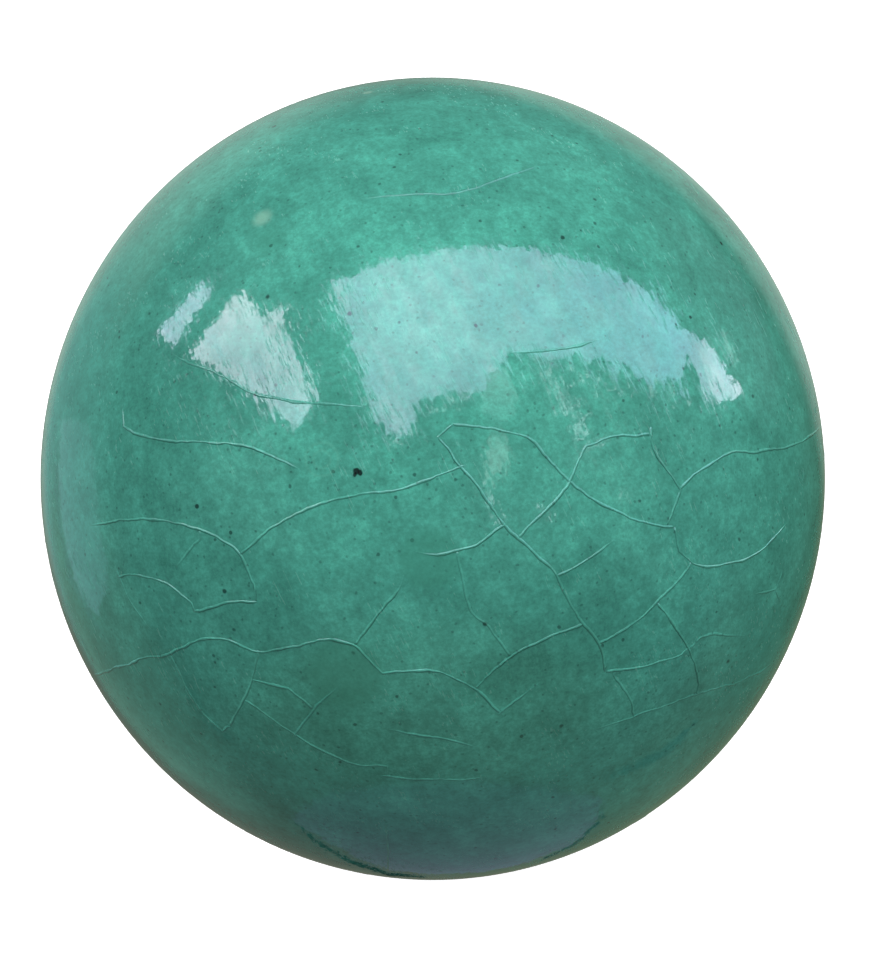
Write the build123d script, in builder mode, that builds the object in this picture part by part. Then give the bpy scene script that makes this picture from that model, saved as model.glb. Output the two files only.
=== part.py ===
"""Dome-headed pin insulator on a steel crossarm pin.

A glazed ceramic shell, with a ball-shaped crown, a wire groove under it and two petticoats, screws
onto a lead thread that is cast round the head of a forged steel pin. The pin's collar stands on an
iron base, and its threaded shank carries the washers and nuts that clamp the base to a crossarm.

Millimetres, +Z up. The origin is on the pin's axis, in the plane of the base's foot, which is the
face that stands on the crossarm.
"""

import os
from math import atan, cos, degrees, radians, sin, tan

from build123d import *

INCH = 25.4

# Base and clamp hardware
base_foot_radius = 32.0
base_top_radius = 18.5
base_height = 17.0
base_rim_height = 6.0
base_rim_width = 5.0
base_flank_radius = 16.0
base_edge_rounding = 1.2
base_foot_chamfer = 0.6
base_hub_wall = 4.6
base_recess_depth = 4.0
base_recess_draft = 8.0
base_rib_width = 3.6
base_rib_count = 6
crossarm_gap = 10.0
washer_side = 2.25 * INCH
washer_thickness = 4.76
washer_hole_radius = 10.3
washer_corner_radius = 2.0
washer_edge_chamfer = 0.6
spring_outer_radius = 15.9
spring_thickness = 4.8
spring_split_width = 2.2
spring_split_angle = 30.0
spring_edge_chamfer = 0.5
nut_across_flats = 1.125 * INCH
nut_height = 16.3
lock_nut_height = 10.7
nut_bore_radius = 9.80
nut_lead_in = 1.2
nut_corner_angle = 30.0
nut_face_share = 0.97

# Pin
bolt_radius = 0.375 * INCH
bolt_thread_pitch = INCH / 10
bolt_thread_depth = 1.45
bolt_thread_top_z = 5.0
bolt_end_below_lock_nut = 5.5
bolt_end_chamfer = 2.0
bolt_clearance = 0.35
collar_radius = 17.0
collar_height = 7.5
collar_rounding = 1.4
collar_foot_chamfer = 0.8
shank_bottom_radius = 12.7
shank_top_radius = 9.8
shank_fillet = 2.2
shank_top_z = 84.0
head_core_radius = 8.4
head_core_chamfer = 1.0
head_top_z = 126.0
head_grip_groove_depth = 1.2
head_grip_groove_height = 5.0
head_grip_groove_zs = (92.0, 104.0, 116.0)

# Screw thread between the pin's lead head and the shell
screw_lead = INCH / 4
screw_taper = 1 / 32
screw_clearance = 0.35
screw_depth = 1.6
screw_crest_width = 0.9
screw_root_width = 3.6
lead_top_thickness = 5.0
lead_foot_height = 3.5
lead_dome_rounding = 2.5
lead_foot_chamfer = 0.8
cushion_thickness = 4.0
cushion_radius = 10.5
cushion_play = 0.5
cushion_edge_chamfer = 0.5

# Ceramic shell
crown_radius = 44.5
crown_centre_z = 129.0
crown_wrap_angle = 35.0
crown_edge_rounding = 4.0
groove_neck_radius = 27.5
groove_top_z = 101.5
groove_bottom_z = 87.5
groove_rounding = 5.2
shoulder_radius = 34.5
shoulder_z = 84.0
shoulder_rounding = 7.0
skirt_radius = 41.5
skirt_bottom_z = 48.0
skirt_wall = 7.5
skirt_flare_radius = 110.0
skirt_lip_rounding = 3.2
cavity_top_z = 79.0
cavity_outer_radius = 30.6
cavity_inner_radius = 25.2
cavity_rounding = 2.4
petticoat_radius = 23.6
petticoat_bottom_z = 55.0
petticoat_lip_rounding = 2.6
hole_top_radius = INCH / 2
hole_thread_start_z = 86.0
hole_end_rounding = 2.0

# Places worked out from the sizes above
hole_top_z = head_top_z + lead_top_thickness + cushion_thickness + cushion_play
washer_top_z = -crossarm_gap
spring_top_z = washer_top_z - washer_thickness
nut_top_z = spring_top_z - spring_thickness
lock_nut_top_z = nut_top_z - nut_height
bolt_end_z = lock_nut_top_z - lock_nut_height - bolt_end_below_lock_nut
bolt_core_radius = bolt_radius - bolt_thread_depth
bolt_hole_radius = bolt_radius + bolt_clearance
collar_top_z = base_height + collar_height
taper_angle = degrees(atan(screw_taper))


def hole_radius(z):
    """Clear radius of the shell's tapered pin hole at height z."""
    return hole_top_radius + (hole_top_z - z) * screw_taper


def corner(shape, x, y):
    """The vertex of a sketch that is nearest to the point x, y."""
    return shape.vertices().sort_by_distance((x, y))[0]


def thread_section(inner_radius, outer_radius, root_width, crest_width):
    """Trapezoid across one turn of a thread, in the XZ plane at the start of its helix."""
    half_root, half_crest = root_width / 2, crest_width / 2
    with BuildSketch(Plane.XZ) as section:
        with BuildLine():
            Polyline(
                (inner_radius, -half_root),
                (outer_radius, -half_crest),
                (outer_radius, half_crest),
                (inner_radius, half_root),
                close=True,
            )
        make_face()
    return section.sketch


def hex_nut(top_z, height):
    """Hexagon nut with chamfered corners on both faces and a plain bore with lead-in chamfers."""
    across_corners = nut_across_flats / cos(radians(30))
    corner_drop = (across_corners / 2 - nut_across_flats / 2) * tan(radians(nut_corner_angle))
    face_radius = nut_across_flats / 2 * nut_face_share
    with BuildPart() as nut:
        with BuildSketch(Plane.XY.offset(top_z - height)):
            RegularPolygon(across_corners / 2, 6)
        extrude(amount=height)
        with BuildSketch(Plane.XZ):
            with BuildLine():
                Polyline(
                    (0, top_z - height),
                    (face_radius, top_z - height),
                    (across_corners / 2, top_z - height + corner_drop),
                    (across_corners / 2, top_z - corner_drop),
                    (face_radius, top_z),
                    (0, top_z),
                    close=True,
                )
            make_face()
        revolve(axis=Axis.Z, mode=Mode.INTERSECT)
        with Locations((0, 0, top_z - height / 2)):
            Hole(nut_bore_radius)
        circles = nut.edges().filter_by(GeomType.CIRCLE)
        chamfer(circles.filter_by(lambda edge: abs(edge.radius - nut_bore_radius) < 0.01), nut_lead_in)
    return nut.part


# Pin base: an iron casting with a hollow, ribbed foot
base_hub_radius = bolt_hole_radius + base_hub_wall
base_inner_radius = base_foot_radius - base_rim_width
with BuildPart() as pin_base:
    with BuildSketch(Plane.XZ) as base_section:
        with BuildLine():
            foot = Polyline(
                (bolt_hole_radius, 0),
                (base_foot_radius, 0),
                (base_foot_radius, base_rim_height),
            )
            flank = RadiusArc(foot @ 1, (base_top_radius, base_height), base_flank_radius)
            Polyline(flank @ 1, (bolt_hole_radius, base_height), (bolt_hole_radius, 0))
        make_face()
        fillet(corner(base_section, base_foot_radius, base_rim_height), base_edge_rounding)
        fillet(corner(base_section, base_top_radius, base_height), base_edge_rounding)
        chamfer(corner(base_section, base_foot_radius, 0), base_foot_chamfer)
    revolve(axis=Axis.Z)
    with BuildSketch(Plane.XY):
        Circle(base_inner_radius)
        Circle(base_hub_radius, mode=Mode.SUBTRACT)
        with PolarLocations(0, base_rib_count):
            Rectangle(
                base_foot_radius, base_rib_width, align=(Align.MIN, Align.CENTER), mode=Mode.SUBTRACT
            )
    extrude(amount=base_recess_depth, taper=base_recess_draft, mode=Mode.SUBTRACT)

# Steel pin: threaded shank, collar, tapered shank and a grooved core for the lead
with BuildPart() as steel_pin:
    with BuildSketch(Plane.XZ) as pin_section:
        with BuildLine():
            Polyline(
                (0, bolt_end_z),
                (bolt_core_radius, bolt_end_z),
                (bolt_core_radius, bolt_thread_top_z),
                (bolt_radius, bolt_thread_top_z + bolt_thread_depth),
                (bolt_radius, base_height),
                (collar_radius, base_height),
                (collar_radius, collar_top_z),
                (shank_bottom_radius, collar_top_z),
                (shank_top_radius, shank_top_z),
                (head_core_radius, shank_top_z),
                (head_core_radius, head_top_z),
                (0, head_top_z),
                close=True,
            )
        make_face()
        fillet(corner(pin_section, shank_bottom_radius, collar_top_z), shank_fillet)
        fillet(corner(pin_section, collar_radius, collar_top_z), collar_rounding)
        chamfer(corner(pin_section, collar_radius, base_height), collar_foot_chamfer)
        chamfer(corner(pin_section, head_core_radius, head_top_z), head_core_chamfer)
    revolve(axis=Axis.Z)
    for groove_z in head_grip_groove_zs:
        with BuildSketch(Plane.XY.offset(groove_z)):
            Circle(head_core_radius)
            Circle(head_core_radius - head_grip_groove_depth, mode=Mode.SUBTRACT)
        extrude(amount=head_grip_groove_height, mode=Mode.SUBTRACT)
    bolt_helix = Helix(
        bolt_thread_pitch, bolt_thread_top_z - bolt_end_z - bolt_thread_pitch, bolt_core_radius, (0, 0, 0)
    )
    bolt_profile = thread_section(
        bolt_core_radius - 0.3, bolt_radius, bolt_thread_pitch * 0.9, bolt_thread_pitch * 0.14
    )
    bolt_ridge = sweep(bolt_profile, path=bolt_helix, is_frenet=True, mode=Mode.PRIVATE)
    add(bolt_ridge.moved(Location((0, 0, bolt_end_z + bolt_thread_pitch * 0.45))))
    with BuildSketch(Plane.XZ):
        with BuildLine():
            Polyline(
                (0, bolt_end_z),
                (bolt_radius - bolt_end_chamfer, bolt_end_z),
                (bolt_radius + bolt_end_chamfer, bolt_end_z + 2 * bolt_end_chamfer),
                (bolt_radius + bolt_end_chamfer, bolt_end_z - 3 * bolt_thread_pitch),
                (0, bolt_end_z - 3 * bolt_thread_pitch),
                close=True,
            )
        make_face()
    revolve(axis=Axis.Z, mode=Mode.SUBTRACT)

# Lead head: coarse tapered thread cast round the pin's core
lead_top_z = head_top_z + lead_top_thickness
lead_thread_start_z = shank_top_z + lead_foot_height
lead_thread_end_z = lead_top_z - lead_dome_rounding


def lead_root_radius(z):
    """Radius of the lead head between the turns of its thread at height z."""
    return hole_radius(z) - screw_clearance - screw_depth


with BuildPart() as lead_thread_head:
    with BuildSketch(Plane.XZ) as lead_section:
        with BuildLine():
            Polyline(
                (0, shank_top_z),
                (lead_root_radius(shank_top_z), shank_top_z),
                (lead_root_radius(lead_top_z), lead_top_z),
                (0, lead_top_z),
                close=True,
            )
        make_face()
        fillet(corner(lead_section, lead_root_radius(lead_top_z), lead_top_z), lead_dome_rounding)
        chamfer(corner(lead_section, lead_root_radius(shank_top_z), shank_top_z), lead_foot_chamfer)
    revolve(axis=Axis.Z)
    lead_start_radius = lead_root_radius(lead_thread_start_z)
    lead_helix = Helix(
        screw_lead,
        lead_thread_end_z - lead_thread_start_z - screw_root_width,
        lead_start_radius,
        (0, 0, 0),
        cone_angle=-taper_angle,
    )
    lead_profile = thread_section(
        lead_start_radius - 0.4, lead_start_radius + screw_depth, screw_root_width, screw_crest_width
    )
    lead_ridge = sweep(lead_profile, path=lead_helix, is_frenet=True, mode=Mode.PRIVATE)
    add(lead_ridge.moved(Location((0, 0, lead_thread_start_z + screw_root_width / 2))))
    add(steel_pin.part, mode=Mode.SUBTRACT)

# Cushion: a soft disc in the closed end of the pin hole, above the lead head
with BuildPart() as cushion_disc:
    with BuildSketch(Plane.XY.offset(lead_top_z + cushion_play / 2)):
        Circle(cushion_radius)
    extrude(amount=cushion_thickness)
    chamfer(cushion_disc.edges().filter_by(GeomType.CIRCLE), cushion_edge_chamfer)

# Ceramic shell: crown, wire groove, skirt and inner petticoat in one revolved section
wrap = radians(crown_wrap_angle)
crown_edge = (crown_radius * cos(wrap), crown_centre_z - crown_radius * sin(wrap))
mouth_radius = hole_radius(petticoat_bottom_z)
with BuildPart() as porcelain_shell:
    with BuildSketch(Plane.XZ) as shell_section:
        with BuildLine():
            crown = CenterArc((0, crown_centre_z), crown_radius, 90, -(90 + crown_wrap_angle))
            neck = Polyline(
                crown @ 1,
                (groove_neck_radius, groove_top_z),
                (groove_neck_radius, groove_bottom_z),
                (shoulder_radius, shoulder_z),
            )
            skirt = RadiusArc(neck @ 1, (skirt_radius, skirt_bottom_z), -skirt_flare_radius)
            Polyline(
                skirt @ 1,
                (skirt_radius - skirt_wall, skirt_bottom_z),
                (cavity_outer_radius, cavity_top_z),
                (cavity_inner_radius, cavity_top_z),
                (petticoat_radius, petticoat_bottom_z),
                (mouth_radius, petticoat_bottom_z),
                (hole_top_radius, hole_top_z),
                (0, hole_top_z),
                crown @ 0,
            )
        make_face()
        fillet(corner(shell_section, *crown_edge), crown_edge_rounding)
        fillet(corner(shell_section, groove_neck_radius, groove_top_z), groove_rounding)
        fillet(corner(shell_section, groove_neck_radius, groove_bottom_z), groove_rounding)
        fillet(corner(shell_section, shoulder_radius, shoulder_z), shoulder_rounding)
        fillet(corner(shell_section, skirt_radius, skirt_bottom_z), skirt_lip_rounding)
        fillet(corner(shell_section, skirt_radius - skirt_wall, skirt_bottom_z), skirt_lip_rounding)
        fillet(corner(shell_section, cavity_outer_radius, cavity_top_z), cavity_rounding)
        fillet(corner(shell_section, cavity_inner_radius, cavity_top_z), cavity_rounding)
        fillet(corner(shell_section, petticoat_radius, petticoat_bottom_z), petticoat_lip_rounding)
        fillet(corner(shell_section, mouth_radius, petticoat_bottom_z), petticoat_lip_rounding)
        fillet(corner(shell_section, hole_top_radius, hole_top_z), hole_end_rounding)
    revolve(axis=Axis.Z)
    hole_start_radius = hole_radius(hole_thread_start_z)
    hole_helix = Helix(
        screw_lead,
        hole_top_z - hole_thread_start_z - screw_lead,
        hole_start_radius,
        (0, 0, 0),
        cone_angle=-taper_angle,
    )
    hole_profile = thread_section(
        hole_start_radius - 0.4, hole_start_radius + screw_depth, screw_root_width, screw_crest_width
    )
    hole_groove = sweep(hole_profile, path=hole_helix, is_frenet=True, mode=Mode.PRIVATE)
    add(hole_groove.moved(Location((0, 0, hole_thread_start_z))), mode=Mode.SUBTRACT)

# Square washer under the crossarm
with BuildPart() as square_washer:
    with BuildSketch(Plane.XY.offset(washer_top_z - washer_thickness)):
        RectangleRounded(washer_side, washer_side, washer_corner_radius)
        Circle(washer_hole_radius, mode=Mode.SUBTRACT)
    extrude(amount=washer_thickness)
    chamfer(square_washer.faces().sort_by(Axis.Z)[-1].outer_wire().edges(), washer_edge_chamfer)

# Spring washer: a ring of square section, split by a slanted cut
with BuildPart() as spring_washer:
    with BuildSketch(Plane.XY.offset(spring_top_z - spring_thickness)):
        Circle(spring_outer_radius)
        Circle(washer_hole_radius, mode=Mode.SUBTRACT)
    extrude(amount=spring_thickness)
    chamfer(spring_washer.edges().filter_by(GeomType.CIRCLE), spring_edge_chamfer)
    slant = spring_thickness * tan(radians(spring_split_angle)) / 2
    with BuildSketch(Plane.YZ):
        with BuildLine():
            Polyline(
                (-spring_split_width / 2 - slant, spring_top_z - spring_thickness),
                (spring_split_width / 2 - slant, spring_top_z - spring_thickness),
                (spring_split_width / 2 + slant, spring_top_z),
                (-spring_split_width / 2 + slant, spring_top_z),
                close=True,
            )
        make_face()
    extrude(amount=spring_outer_radius + 1, mode=Mode.SUBTRACT)

# Nuts
hex_nut_part = hex_nut(nut_top_z, nut_height)
lock_nut_part = hex_nut(lock_nut_top_z, lock_nut_height)

os.makedirs("parts", exist_ok=True)
finished = {
    "porcelain_shell": porcelain_shell.part,
    "cushion_disc": cushion_disc.part,
    "lead_thread_head": lead_thread_head.part,
    "steel_pin": steel_pin.part,
    "pin_base": pin_base.part,
    "square_washer": square_washer.part,
    "spring_washer": spring_washer.part,
    "hex_nut": hex_nut_part,
    "lock_nut": lock_nut_part,
}
for name, part in finished.items():
    part.label = name
    export_step(part, f"parts/{name}.step")
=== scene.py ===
"""Looks of a ball-headed, jade-glazed pin insulator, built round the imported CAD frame.

Metres, +Z up, in the frame's own coordinates. The camera looks straight down on the crown. Places
on the crown are given as they appear to that camera: millimetres right of and above its centre.
"""

import random
from bisect import bisect_right
from itertools import product
from math import acos, atan2, cos, exp, floor, hypot, pi, radians, sin, sqrt, tan

import bpy
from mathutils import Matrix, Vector
from mathutils.geometry import delaunay_2d_cdt
from mathutils.noise import noise


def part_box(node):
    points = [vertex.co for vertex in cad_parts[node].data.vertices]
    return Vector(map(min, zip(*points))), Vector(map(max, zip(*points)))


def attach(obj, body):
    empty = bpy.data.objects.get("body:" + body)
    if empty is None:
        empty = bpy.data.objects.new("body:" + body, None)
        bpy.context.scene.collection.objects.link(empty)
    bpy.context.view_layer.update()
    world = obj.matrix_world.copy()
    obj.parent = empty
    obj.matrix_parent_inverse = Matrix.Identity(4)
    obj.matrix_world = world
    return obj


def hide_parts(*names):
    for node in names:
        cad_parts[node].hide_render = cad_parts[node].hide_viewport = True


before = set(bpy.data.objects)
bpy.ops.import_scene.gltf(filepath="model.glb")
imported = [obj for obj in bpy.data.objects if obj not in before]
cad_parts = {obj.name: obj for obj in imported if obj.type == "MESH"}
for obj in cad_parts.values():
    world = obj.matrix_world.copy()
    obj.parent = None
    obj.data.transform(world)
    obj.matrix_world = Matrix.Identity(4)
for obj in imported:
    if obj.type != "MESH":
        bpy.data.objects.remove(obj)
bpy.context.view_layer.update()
scene = bpy.context.scene
MM = 0.001

# ---- sizes, from the frame's boxes
shell_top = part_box("porcelain_shell")[1].z
floor_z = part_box("steel_pin")[0].z
crown_radius_mm = 44.5
crown_radius = crown_radius_mm * MM
crown_centre = Vector((0, 0, shell_top - crown_radius))
oval_x, oval_y = 0.9885, 1.0115  # the crown was thrown slightly out of round
camera_distance = 0.3953
camera_lens = 130.0


# ---- small helpers
def smoothstep(low, high, value):
    """0 below low, 1 above high, and a smooth rise between them."""
    t = min(1.0, max(0.0, (value - low) / (high - low)))
    return t * t * (3 - 2 * t)


def mix(a, b, share):
    """Linear mix of two tuples of the same length."""
    return tuple(p + (q - p) * share for p, q in zip(a, b))


def new_mesh(name, vertices, faces, material):
    """A mesh object in the scene, with outward faces and one material."""
    data = bpy.data.meshes.new(name)
    data.from_pydata([tuple(v) for v in vertices], [], faces)
    data.update()
    data.shade_smooth()
    obj = bpy.data.objects.new(name, data)
    scene.collection.objects.link(obj)
    data.materials.append(material)
    return obj


def set_attribute(obj, name, values, kind="FLOAT"):
    """Stores one value per vertex under an attribute's name."""
    layer = obj.data.attributes.new(name, kind, "POINT")
    field = "color" if kind == "FLOAT_COLOR" else "value"
    for item, value in zip(layer.data, values):
        setattr(item, field, value)


def hide_from(obj, *rays):
    """Takes an object out of the named kinds of ray."""
    for ray in rays:
        setattr(obj, "visible_" + ray, False)


class Nodes:
    """Short way to build a material's node tree."""

    def __init__(self, name, owner=None):
        self.owner = owner or bpy.data.materials.new(name)
        self.owner.use_nodes = True
        self.tree = self.owner.node_tree
        self.tree.nodes.clear()

    def add(self, kind, inputs=None, **settings):
        node = self.tree.nodes.new(kind)
        for key, value in settings.items():
            setattr(node, key, value)
        for key, value in (inputs or {}).items():
            socket = node.inputs[key]
            if isinstance(value, bpy.types.NodeSocket):
                self.tree.links.new(value, socket)
            else:
                socket.default_value = value
        return node

    def math(self, operation, a, b=0.0, clamp=False):
        node = self.add("ShaderNodeMath", {0: a, 1: b}, operation=operation, use_clamp=clamp)
        return node.outputs[0]

    def plus(self, a, b, clamp=False):
        return self.math("ADD", a, b, clamp)

    def times(self, a, b):
        return self.math("MULTIPLY", a, b)

    def ramp(self, value, *stops, interpolation="EASE"):
        node = self.add("ShaderNodeValToRGB", {"Fac": value})
        node.color_ramp.interpolation = interpolation
        while len(node.color_ramp.elements) < len(stops):
            node.color_ramp.elements.new(0.5)
        for element, (place, colour) in zip(node.color_ramp.elements, stops):
            element.position = place
            element.color = (*colour, 1)
        return node.outputs["Color"]

    def range(self, value, low, high, to_low=0.0, to_high=1.0):
        return self.add(
            "ShaderNodeMapRange",
            {"Value": value, "From Min": low, "From Max": high, "To Min": to_low, "To Max": to_high},
            interpolation_type="SMOOTHSTEP",
        ).outputs["Result"]

    def blend(self, share, a, b, mode="MIX"):
        inputs = {0: share, 6: a, 7: b}
        inputs |= {key: (*value, 1) for key, value in inputs.items() if isinstance(value, tuple)}
        node = self.add("ShaderNodeMix", inputs, data_type="RGBA", blend_type=mode)
        return node.outputs[2]

    def noise(self, vector, scale, detail, roughness, distortion=0.0):
        inputs = {"Vector": vector, "Scale": scale, "Detail": detail}
        inputs |= {"Roughness": roughness, "Distortion": distortion}
        return self.add("ShaderNodeTexNoise", inputs).outputs["Fac"]

    def cells(self, vector, scale, feature="F1"):
        return self.add("ShaderNodeTexVoronoi", {"Vector": vector, "Scale": scale}, feature=feature)

    def place(self):
        return self.add("ShaderNodeTexCoord").outputs["Object"]

    def stretched(self, vector, scale, angle=0.0):
        if angle:
            turn = {"Vector": vector, "Rotation": (0, 0, -angle)}
            vector = self.add("ShaderNodeMapping", turn).outputs[0]
        return self.add("ShaderNodeMapping", {"Vector": vector, "Scale": scale}).outputs[0]

    def tinted(self, colour, share):
        grey = self.add("ShaderNodeCombineColor", {0: share, 1: share, 2: share}).outputs[0]
        return self.blend(1.0, colour, grey, "MULTIPLY")

    def vector(self, operation, a, b):
        return self.add("ShaderNodeVectorMath", {0: a, 1: b}, operation=operation)

    def distance(self, a, b):
        return self.vector("DISTANCE", a, b).outputs["Value"]

    def bump(self, height, distance):
        inputs = {"Height": height, "Distance": distance, "Strength": 1.0}
        return self.add("ShaderNodeBump", inputs).outputs[0]

    def attribute(self, name, output="Fac"):
        return self.add("ShaderNodeAttribute", attribute_name=name).outputs[output]

    def surface(self, colour, rough, normal, **more):
        inputs = {"Base Color": colour, "Roughness": rough, "Normal": normal} | more
        return self.add("ShaderNodeBsdfPrincipled", inputs).outputs[0]

    def finish(self, shader):
        self.add("ShaderNodeOutputMaterial", {"Surface": shader})
        return self.owner


# ---- camera
camera_data = bpy.data.cameras.new("camera")
camera_data.lens, camera_data.sensor_width = camera_lens, 36.0
camera_data.clip_start, camera_data.clip_end = 0.01, 30.0
camera = bpy.data.objects.new("camera", camera_data)
camera.location = crown_centre + Vector((-0.42 * MM, 0.70 * MM, camera_distance))
camera.rotation_euler = (0, 0, pi)
scene.collection.objects.link(camera)
scene.camera = camera
eye = crown_centre + Vector((0, 0, camera_distance))
limb_slope = crown_radius / sqrt(camera_distance**2 - crown_radius**2)


def seen(x, y):
    """The crown's point and normal that the camera sees x mm right of and y mm above its centre."""
    step = Vector((-x * MM / crown_radius * limb_slope, -y * MM / crown_radius * limb_slope, -1))
    reach = Vector((crown_radius * oval_x, crown_radius * oval_y, crown_radius))
    origin = Vector(((eye - crown_centre)[i] / reach[i] for i in range(3)))
    along = Vector((step[i] / reach[i] for i in range(3)))
    a, b, c = along.dot(along), 2 * origin.dot(along), origin.dot(origin) - 1
    t = (-b - sqrt(max(0.0, b * b - 4 * a * c))) / (2 * a)
    unit = origin + along * t
    point = Vector((unit[i] * reach[i] for i in range(3)))
    normal = Vector((unit[i] / reach[i] for i in range(3))).normalized()
    return crown_centre + point, normal


def mirrored(x, y, distance):
    """The point, at a distance from the crown, whose reflection the camera sees at x, y."""
    point, normal = seen(x, y)
    ray = (point - eye).normalized()
    ray = ray - 2 * ray.dot(normal) * normal
    local = point - crown_centre
    b, c = local.dot(ray), local.dot(local) - distance**2
    return point + ray * (-b + sqrt(b * b - c))


# ---- ceramic shell: section
corner_steps = 40  # points on each rounded corner


def line(a, b, step=0.05 * MM):
    """Points from a to b, a step apart."""
    count = max(2, int((Vector(b) - Vector(a)).length / step))
    return [Vector(a).lerp(Vector(b), i / count) for i in range(count + 1)]


def arc(centre, radius, start, end, step=0.05 * MM):
    """Points on a circle's arc, from angle start to angle end in degrees."""
    count = max(2, int(abs(radians(end - start)) * radius / step))
    angles = [radians(start + (end - start) * i / count) for i in range(count + 1)]
    return [Vector((centre[0] + radius * cos(a), centre[1] + radius * sin(a))) for a in angles]


def arc_through(a, b, radius):
    """Points on the arc from a to b whose centre lies to the right of the way from a to b."""
    a, b = Vector(a), Vector(b)
    half, way = (b - a).length / 2, (b - a).normalized()
    centre = (a + b) / 2 + Vector((way.y, -way.x)) * sqrt(radius**2 - half**2)
    start = atan2(a.y - centre.y, a.x - centre.x)
    sweep = -2 * atan2(half, sqrt(radius**2 - half**2))
    return arc(centre, radius, start * 180 / pi, (start + sweep) * 180 / pi)


def trimmed(points, length):
    """Points with a length cut off the far end."""
    points, gone = list(points), 0.0
    while len(points) > 3 and gone < length:
        gone += (points[-1] - points[-2]).length
        points.pop()
    return points


def rounded(edges, radii):
    """Joins edges, given as lists of points, with round corners of the given radii."""
    edges = [list(edge) for edge in edges]
    path = []
    for i, radius in enumerate(radii):
        d0 = (edges[i][-1] - edges[i][-2]).normalized()
        d1 = (edges[i + 1][1] - edges[i + 1][0]).normalized()
        turn = acos(max(-1.0, min(1.0, d0.dot(d1))))
        cut = radius * tan(turn / 2)
        edges[i] = trimmed(edges[i], cut)
        edges[i + 1] = trimmed(edges[i + 1][::-1], cut)[::-1]
        p0, p1 = edges[i][-1], edges[i + 1][0]
        d0 = (edges[i][-1] - edges[i][-2]).normalized()
        d1 = (edges[i + 1][1] - edges[i + 1][0]).normalized()
        handle = 4 / 3 * tan(turn / 4) / tan(turn / 2) * cut
        c0, c1 = p0 + d0 * handle, p1 - d1 * handle
        path += edges[i]
        for k in range(1, corner_steps):
            t = k / corner_steps
            near = p0 * (1 - t) ** 3 + c0 * 3 * t * (1 - t) ** 2
            path.append(near + c1 * 3 * t * t * (1 - t) + p1 * t**3)
    return path + edges[-1]


def in_mm(*pairs):
    """Section points given in millimetres, as metres."""
    return [Vector((r * MM, z * MM)) for r, z in pairs]


hole_top = 135.5  # mm
hole_end_radius, hole_taper = 12.7, 1 / 32  # mm, and its growth per mm of depth
thread_pitch, thread_start, thread_height = 6.35, 86, 1.6  # mm
crown_mid = crown_centre.z / MM
undercut = 35  # degrees below the ball's middle where the neck's slope begins


def hole_radius(z):
    """Radius in mm of the tapered pin hole at height z in mm."""
    return hole_end_radius + (hole_top - z) * hole_taper


crown_end = (crown_radius_mm * cos(radians(undercut)), crown_mid - crown_radius_mm * sin(radians(undercut)))
neck_top, neck_low, shoulder = in_mm((27.5, 101.5), (27.5, 87.5), (34.5, 84))
lip_out, lip_in, cavity_out, cavity_in = in_mm((41.5, 48), (34, 48), (30.6, 79), (25.2, 79))
petticoat_out, mouth = in_mm((23.6, 55), (hole_radius(55), 55))
hole_end, hole_axis = in_mm((hole_end_radius, hole_top), (0, hole_top))
outside = rounded(
    [
        arc((0, crown_centre.z), crown_radius, 90, -undercut),
        line(Vector(crown_end) * MM, neck_top),
        line(neck_top, neck_low),
        line(neck_low, shoulder),
        arc_through(lip_out, shoulder, 110 * MM)[::-1],
        line(lip_out, lip_in),
        line(lip_in, cavity_out),
        line(cavity_out, cavity_in),
        line(cavity_in, petticoat_out),
        line(petticoat_out, mouth),
        line(mouth, hole_end),
        line(hole_end, hole_axis),
    ],
    [r * MM for r in (4, 5.2, 5.2, 7, 3.2, 3.2, 2.4, 2.4, 2.6, 2.6, 2)],
)
along_section = [0.0]
for before, after in zip(outside, outside[1:]):
    along_section.append(along_section[-1] + (after - before).length)


def section_at(distance):
    """Radius, height and outward normal of the shell's section at a distance from its top."""
    low = min(bisect_right(along_section, distance) - 1, len(outside) - 2)
    high = low + 1
    share = (distance - along_section[low]) / max(1e-12, along_section[high] - along_section[low])
    point = outside[low].lerp(outside[high], share)
    way = (outside[min(high + 3, len(outside) - 1)] - outside[max(low - 3, 0)]).normalized()
    return point.x, point.y, Vector((-way.y, way.x))


def relief(point):
    """Height of the glaze's slow waves, in metres, at a point of the shell."""
    waves = noise(point * 55) * 0.030 + noise(point * 160 + Vector((3, 1, 7))) * 0.007
    return waves * MM


def shell_point(angle, distance, lift=0.0):
    """Point and normal of the finished shell at an angle round it and a distance down its section."""
    r, z, n = section_at(distance)
    ovalness = smoothstep(100 * MM, 116 * MM, z) if distance < lip_end else 0.0
    sx, sy = 1 + (oval_x - 1) * ovalness, 1 + (oval_y - 1) * ovalness
    normal = Vector((n.x * cos(angle) / sx, n.x * sin(angle) / sy, n.y)).normalized()
    point = Vector((r * cos(angle) * sx, r * sin(angle) * sy, z))
    if distance < lip_end:
        point += normal * relief(point)
    return point + normal * lift, normal


def first_distance(test):
    """Distance down the section of the first of its points that passes a test."""
    return next(d for d, p in zip(along_section, outside) if test(p))


lip_end = first_distance(lambda p: p.y < 48.01 * MM and p.x < 37.5 * MM)
hole_start = first_distance(lambda p: p.y < 55.01 * MM and p.x < 18 * MM and p.y > 50 * MM)


def thread_depth(z, angle):
    """Depth in metres of the hole's right-hand thread at a height in mm and an angle."""
    phase = (z - thread_start) / thread_pitch - angle / (2 * pi)
    away = abs((phase + 0.5) % 1 - 0.5) * thread_pitch
    ends = smoothstep(thread_start, thread_start + 2, z) * (1 - smoothstep(hole_top - 8, hole_top - 5, z))
    return thread_height * MM * ends * (1 - min(1.0, max(0.0, (away - 0.45) / 1.35)))


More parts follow.
